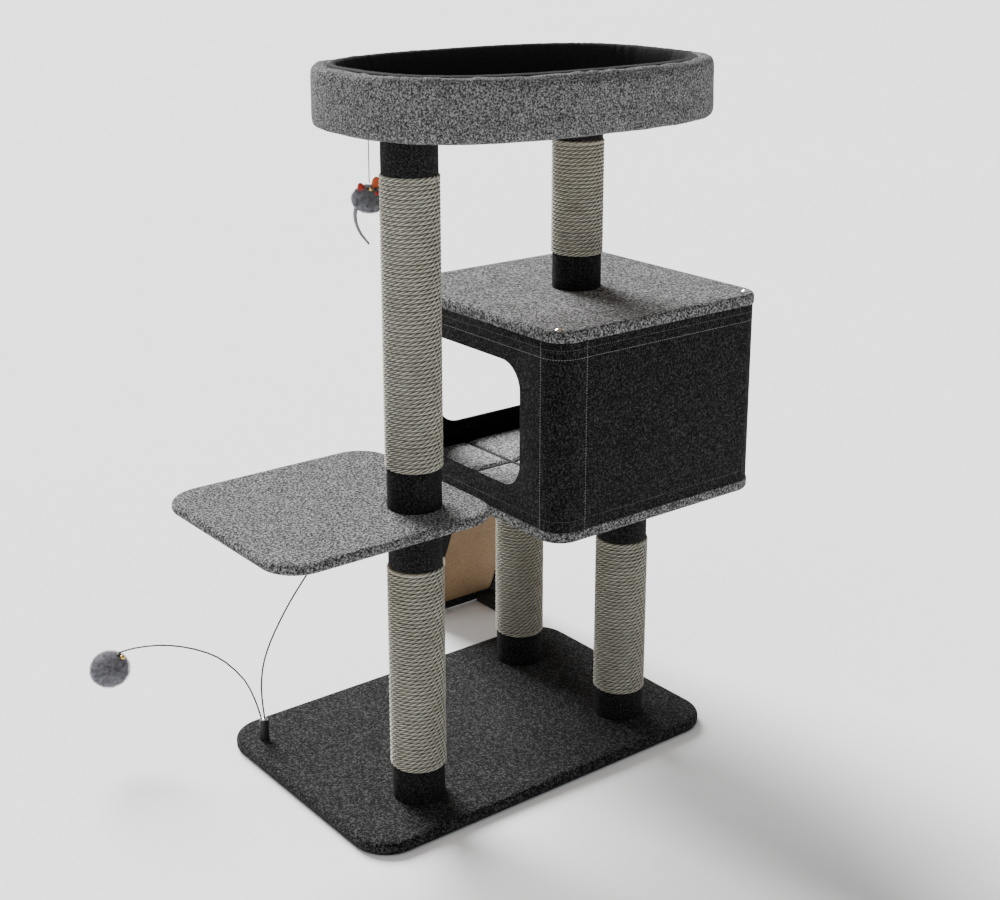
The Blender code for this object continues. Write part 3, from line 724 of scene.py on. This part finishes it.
def rope_tail(node):
    """The cut end of a winding, left standing against the collar above it."""
    lo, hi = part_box(node)
    foot = middle_of(lo, hi) + CAMERA_RIGHT * ((hi.x - lo.x) / 2 - 0.0018)
    foot.z = hi.z - 0.004
    bends = (Vector((0, 0, 0)), Vector((0.0006, 0.0004, 0.006)), Vector((0.0004, 0.0014, 0.0135)))
    path = curve_through([foot + bend for bend in bends], 4)
    radii = [0.0026] * (len(path) - 1) + [0.0019]
    settle(new_object(f"{node}_tail", *tube(path, radii)), SISAL, "root", "sisal_rope")


for post in sorted(n.removesuffix("_tube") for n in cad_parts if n.endswith("_tube")):
    wound_rope(f"{post}_rope")
    for end in ("low", "top"):
        collar(f"{post}_collar_{end}")
rope_tail("post_a_lower_rope")


# ---------------------------------------------------------------- perch
def perch_rim():
    """The padded band: felt rolled over a soft rim and down past the board's edge."""
    lo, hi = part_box("perch_bolster")
    board_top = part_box("perch_board")[1].z
    centre, half = middle_of(lo, hi), (hi - lo) / 2
    slack = 0.0030                      # room left for the cloth to swell
    roll = RIM_WIDTH / 2
    crown = hi.z - roll
    tuck = BOARD_INSET + 0.010
    under = lo.z - 0.0012
    section = [(tuck, under), (0.0050, under), (0.0022, lo.z + 0.003), (0.0014, lo.z + 0.012),
               (0.0018, lo.z + 0.04)]
    for i in range(9):
        turn = math.pi * i / 8
        inset = roll - 0.0015 - (roll - slack) * math.cos(turn)
        section.append((inset, crown + (roll - slack) * math.sin(turn)))
    section += [(RIM_WIDTH - slack - 0.0015, board_top + 0.0003), (tuck, board_top + 0.0003)]
    rings = [at_height(superellipse(centre, half, inset, 160), z) for inset, z in section]
    rim = new_object("perch_rim", *loft(rings, loop=True))
    swollen(rim, 0.005, 0.0035, lambda p: p.z < board_top)
    shape = coordinates(rim.data)
    facing = np.array([tuple(v.normal) for v in rim.data.vertices])
    for index, spot in enumerate(shape):
        turn = math.atan2((spot[1] - centre.y) / half.y, (spot[0] - centre.x) / half.x)
        ripple = noise.noise(Vector((spot[0] * 26, spot[1] * 26, spot[2] * 12)))
        pleat = noise.noise(Vector((math.cos(turn) * 17, math.sin(turn) * 17, 2.7)))
        gathered = max(0.0, facing[index][2]) * max(0.0, min(1.0, (spot[2] - crown) / roll))
        shape[index] += facing[index] * (ripple * 0.0009 + pleat * gathered * 0.0030)
    reshape(rim.data, shape)
    settle(rim, LIGHT_FELT, "root", "light_felt", "perch_bolster")


def perch_lining():
    """Black plush down the inside of the rim, gathered where it is sewn to the felt."""
    lo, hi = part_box("perch_bolster")
    cushion_lo, cushion_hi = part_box("perch_cushion")
    centre, half = middle_of(lo, hi), (hi - lo) / 2
    count = 420
    thick = 0.0016
    front = [(0.0270, hi.z - 0.0075), (0.0312, hi.z - 0.0048), (0.0348, hi.z - 0.0095),
             (0.0372, hi.z - 0.0170), (0.0384, hi.z - 0.0260), (0.0388, hi.z - 0.0380),
             (0.0386, (cushion_lo.z + cushion_hi.z) / 2), (0.0380, cushion_lo.z + 0.001)]
    back = [(inset - thick, z - (thick if k < 3 else 0)) for k, (inset, z) in enumerate(front)]
    rings = []
    for order, (inset, z) in enumerate(front + back[::-1]):
        depth = order if order < len(front) else len(front) + len(back) - 1 - order
        fade = (0.5, 1.0, 0.9, 0.75, 0.6, 0.45, 0.3, 0.2)[depth]
        ring = []
        for i, (x, y) in enumerate(superellipse(centre, half, inset, count)):
            out = Vector((x - centre.x, y - centre.y, 0)).normalized()
            turn = 2 * math.pi * i / count
            gather = noise.noise(Vector((math.cos(turn) * 21, math.sin(turn) * 21, 0.3 + z * 6)))
            fine = noise.noise(Vector((math.cos(turn) * 60, math.sin(turn) * 60, 5.1)))
            push = fade * (0.0016 * gather + 0.0007 * fine)
            ring.append((x - out.x * push, y - out.y * push, z + fade * 0.0006 * fine))
        rings.append(ring)
    settle(new_object("perch_lining", *loft(rings, loop=True)), LINING, "root", "black_plush")


def perch_cushion():
    """A flat stuffed cushion in the bottom of the bed."""
    lo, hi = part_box("perch_cushion")
    centre, half = middle_of(lo, hi), (hi - lo) / 2
    low = lo.z + 0.0015
    inset = 0.002
    rings = pillow(lambda more: superellipse(centre, half, inset + more, 120), low, hi.z - 0.0045, 0.006)
    cushion = new_object("perch_cushion_plush", *loft(rings))
    swollen(cushion, 0.006, 0.010, lambda p: p.z < low + 0.003)
    settle(cushion, LINING, "root", "black_plush", "perch_cushion")


perch_rim()
perch_lining()
perch_cushion()


# ---------------------------------------------------------------- toys
def fibres(centre, half, reach, count, seed, droop=0.25):
    """Points and faces of a soft ball: a core and many tapered fibres that stand out of it."""
    thick = 0.00055
    chance = random.Random(seed)
    bm = bmesh.new()
    bmesh.ops.create_icosphere(bm, subdivisions=3, radius=1.0)
    points = [Vector((v.co.x * half[0], v.co.y * half[1], v.co.z * half[2])) for v in bm.verts]
    faces = [tuple(v.index for v in f.verts) for f in bm.faces]
    bm.free()
    for n in range(count):
        z = 1 - 2 * (n + 0.5) / count
        turn = n * GOLDEN_ANGLE
        flat = math.sqrt(1 - z * z)
        way = Vector((flat * math.cos(turn), flat * math.sin(turn), z))
        root = Vector((way.x * half[0], way.y * half[1], way.z * half[2])) * 0.97
        lean = Vector((chance.gauss(0, 0.45), chance.gauss(0, 0.45), chance.gauss(0, 0.45) - droop))
        grow = (way + lean * 0.6).normalized()
        long = reach * chance.uniform(0.55, 1.0)
        knee = root + way * long * 0.5
        tip = knee + grow * long * 0.5
        side = way.orthogonal().normalized()
        other = way.cross(side)
        first = len(points)
        for spot, width in ((root, thick), (knee, thick * 0.7)):
            for k in range(3):
                a = 2 * math.pi * k / 3
                points.append(spot + width * (math.cos(a) * side + math.sin(a) * other))
        points.append(tip)
        for k in range(3):
            j = (k + 1) % 3
            faces.append((first + k, first + j, first + 3 + j, first + 3 + k))
            faces.append((first + 3 + k, first + 3 + j, first + 6))
        faces.append((first + 2, first + 1, first))
    return [centre + p for p in points], faces


def ball(name, centre, half, finish, body, slot, segments=20, rings=12):
    """An ellipsoid."""
    mesh = bpy.data.meshes.new(name)
    bm = bmesh.new()
    bmesh.ops.create_uvsphere(bm, u_segments=segments, v_segments=rings, radius=1.0)
    bmesh.ops.scale(bm, vec=half, verts=bm.verts)
    bmesh.ops.translate(bm, vec=centre, verts=bm.verts)
    bm.to_mesh(mesh)
    bm.free()
    mesh.shade_smooth()
    return settle(linked(name, mesh), finish, body, slot)


def pompom(number):
    """A fluffy ball on the end of a spring wire, with a knot and a small bell."""
    node = f"pompom_{number}"
    body = f"wand_{number}"
    lo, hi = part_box(node)
    centre, radius = middle_of(lo, hi), (hi.z - lo.z) / 2
    core = radius - 0.0080
    wide = core + 0.0060
    fur_ball = fibres(centre, (wide, wide, core + 0.0030), 0.0078, 3800, number)
    settle(new_object(f"{node}_fur", *fur_ball), GREY_FUR, body, "grey_fur", node)
    if number == 1:
        side, to_knot = 1, CAMERA_RIGHT * 0.55 + Vector((0, 0, 0.80))
    else:
        side, to_knot = -1, CAMERA_RIGHT * -0.5 + Vector((0, 0, -0.82))
    knot = centre + to_knot * (radius * 0.98)
    ball(f"{node}_knot", knot, (0.0052, 0.0045, 0.0042), BLACK, body, "black_plastic")
    bell = knot + CAMERA_RIGHT * 0.0062 * side + TOWARDS_CAMERA * 0.004 + Vector((0, 0, -0.0015))
    ball(f"{node}_bell", bell, (0.0046, 0.0046, 0.0046), BRASS, body, "bright_screw")


def wand_holder_trim():
    """A crimped ferrule where the two wires leave the holder."""
    lo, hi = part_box("wand_holder")
    centre = middle_of(lo, hi)
    sides = 24
    turns = [2 * math.pi * k / sides for k in range(sides)]
    rings = []
    for radius, z in ((0.0044, -0.0006), (0.0046, 0.0007), (0.0041, 0.0012), (0.0046, 0.0018),
                      (0.0044, 0.0026), (0.0030, 0.0030)):
        rings.append([(centre.x + radius * math.cos(turn), centre.y + radius * math.sin(turn), hi.z + z)
                      for turn in turns])
    settle(new_object("wand_ferrule", *loft(rings)), BRIGHT, "root", "bright_screw")


def seen_from(centre, right, up, near=0.0):
    """A point to the right of, above and in front of a centre, as the view sees them."""
    return centre + CAMERA_RIGHT * right + TOWARDS_CAMERA * near + Vector((0, 0, up))


def mouse():
    """A plush mouse with felt ears, beads and a cord tail, hung on a thin string."""
    centre = middle_of(*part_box("mouse_body"))
    half = (0.0245, 0.0165, 0.0185)
    points, faces = fibres(Vector((0, 0, 0)), half, 0.0062, 4200, 11, droop=0.5)
    turn = Matrix.Rotation(math.atan2(CAMERA_RIGHT.y, CAMERA_RIGHT.x), 3, "Z")
    body = new_object("mouse_fur", [centre + turn @ p for p in points], faces)
    settle(body, MOUSE_FUR, "mouse", "mouse_plush", "mouse_body")
    ears = (("left", -0.011, 0.0165, (0.0055, 0.0022, 0.0095), RED_FELT, -0.3),
            ("right", 0.0105, 0.0255, (0.0062, 0.0022, 0.0095), ORANGE_FELT, 0.15))
    for side, right, up, size, finish, tilt in ears:
        ear = ball(f"mouse_ear_{side}", Vector((0, 0, 0)), size, finish, "mouse", "mouse_plush")
        swing = turn.to_4x4() @ Matrix.Rotation(tilt, 4, "Y")
        ear.data.transform(Matrix.Translation(seen_from(centre, right, up, 0.009)) @ swing)
    beads = (("bead", 0.0035, 0.0165, 0.0155, 0.0032, BRASS),
             ("eye_left", -0.0015, 0.0175, 0.0150, 0.0022, BLACK),
             ("eye_right", 0.0100, 0.0170, 0.0145, 0.0022, BLACK),
             ("nose", 0.0125, 0.0110, 0.0165, 0.0034, RED_FELT))
    for name, right, up, near, size, finish in beads:
        ball(f"mouse_{name}", seen_from(centre, right, up, near), (size, size, size), finish,
             "mouse", "mouse_plush", segments=14, rings=9)
    bends = ((-0.016, -0.008, 0.0), (-0.0215, -0.018, 0.002), (-0.0210, -0.034, 0.003),
             (-0.0145, -0.052, 0.002), (-0.002, -0.069, 0.0))
    tail = curve_through([seen_from(centre, *bend) for bend in bends])
    thick, thin = 0.0036, 0.0018
    radii = [thick + (thin - thick) * k / (len(tail) - 1) for k in range(len(tail))]
    settle(new_object("mouse_tail", *tube(tail, radii)), TAIL_CORD, "mouse", "toy_cord")
    cord_lo, cord_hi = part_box("mouse_cord")
    hang = middle_of(cord_lo, cord_hi)
    top, low = cord_hi.z, cord_lo.z
    spans = 24
    path = [Vector((hang.x, hang.y, top + (low - top) * k / spans)) for k in range(spans + 1)]
    radius = (cord_hi.x - cord_lo.x) / 2
    cord = new_object("mouse_string", *tube(path, [radius] * len(path)))
    settle(cord, TOY_CORD, "mouse_string", "toy_cord", "mouse_cord")


for number in (1, 2):
    pompom(number)
wand_holder_trim()
mouse()


# ---------------------------------------------------------------- CAD nodes that keep their shape
def repaint(finish, *names):
    """Give nodes that keep their CAD shape a finish."""
    for name in names:
        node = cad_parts[name]
        for place in node.material_slots:
            place.material = finish


def welded(name):
    """Joins a carried-over node's faces along their shared edges."""
    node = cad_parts[name]
    node.modifiers.new("joined", "WELD").merge_threshold = 0.00001
    return node


def soften(name, width):
    """Rounded edges on a carried-over node."""
    bevel = welded(name).modifiers.new("soft edge", "BEVEL")
    bevel.width = width
    bevel.segments = 2
    bevel.limit_method = "ANGLE"
    bevel.angle_limit = math.radians(35)


def coated(name):
    """The wire's black sleeve."""
    sleeve = welded(name).modifiers.new("sleeve", "DISPLACE")
    sleeve.mid_level = 0.0
    sleeve.strength = WIRE_COAT


def named(*parts):
    """The nodes whose names hold one of these parts."""
    return [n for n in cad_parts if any(part in n for part in parts)]


repaint(RAW_BOARD, *named("_board"))
repaint(DOWEL, *named("corner_dowel"))
repaint(CARDBOARD, *named("_tube"))
repaint(ZINC, *named("_bolt", "_stud", "bolt_"))
repaint(BRIGHT, *named("roof_screw"))
repaint(WIRE, *named("wand_wire"))
repaint(BLACK, "wand_holder", "ramp_foot")
repaint(WALL_FELT, "ramp_cover")
for wire in named("wand_wire"):
    coated(wire)
soften("ramp_cover", 0.0012)
soften("ramp_foot", 0.0015)


# ---------------------------------------------------------------- floor, light and camera
def floor():
    far = 60
    corners = [(-far, -far, 0), (far, -far, 0), (far, far, 0), (-far, far, 0)]
    made = new_object("studio_floor", corners, [(0, 1, 2, 3)])
    finish = Finish("studio_floor", 0.9, specular=0.1)
    finish.colour(finish.ramp(finish.noise(0.4), (0.3, grey(0.91)), (0.7, grey(0.93))))
    made.data.materials.append(finish.material)


def sun(name, towards, strength, spread):
    """Even soft light from a wide part of the sky. towards: the way to the light."""
    lamp = bpy.data.lights.new(name, "SUN")
    lamp.energy = strength
    lamp.angle = math.radians(spread)
    linked(name, lamp).rotation_euler = towards.to_track_quat("Z", "Y").to_euler()


def surround(soft, seen):
    """Soft light from all round, and behind the floor a backdrop as pale as the floor."""
    world = bpy.data.worlds.new("studio")
    world.use_nodes = True
    tree = world.node_tree
    light = tree.nodes["Background"]
    light.inputs["Strength"].default_value = soft
    backdrop = tree.nodes.new("ShaderNodeBackground")
    backdrop.inputs["Strength"].default_value = seen
    for node in (light, backdrop):
        node.inputs["Color"].default_value = (1.0, 1.0, 1.0, 1.0)
    mix = tree.nodes.new("ShaderNodeMixShader")
    looked_at = tree.nodes.new("ShaderNodeLightPath").outputs["Is Camera Ray"]
    tree.links.new(looked_at, mix.inputs[0])
    tree.links.new(light.outputs[0], mix.inputs[1])
    tree.links.new(backdrop.outputs[0], mix.inputs[2])
    tree.links.new(mix.outputs[0], tree.nodes["World Output"].inputs["Surface"])
    bpy.context.scene.world = world


def studio():
    floor()
    surround(0.46, 2.3)
    sun("high_left", TOWARDS_CAMERA * -0.85 - CAMERA_RIGHT * 0.50 + Vector((0, 0, 0.74)), 10.5, 34)
    sun("low_left", TOWARDS_CAMERA * 0.6 - CAMERA_RIGHT * 0.9 + Vector((0, 0, 1.2)), 0.5, 50)


def camera():
    """The photograph's viewing angle, with a small shift that keeps its framing."""
    lens = bpy.data.cameras.new("camera")
    lens.lens = 57.569
    lens.sensor_width = 36.0
    lens.shift_y = -0.10
    made = linked("camera", lens)
    made.location = (-1.4986, -2.0048, 1.3988)
    made.rotation_euler = (math.radians(90 - 15.791), 0, math.radians(-37.956))
    bpy.context.scene.camera = made


studio()
camera()
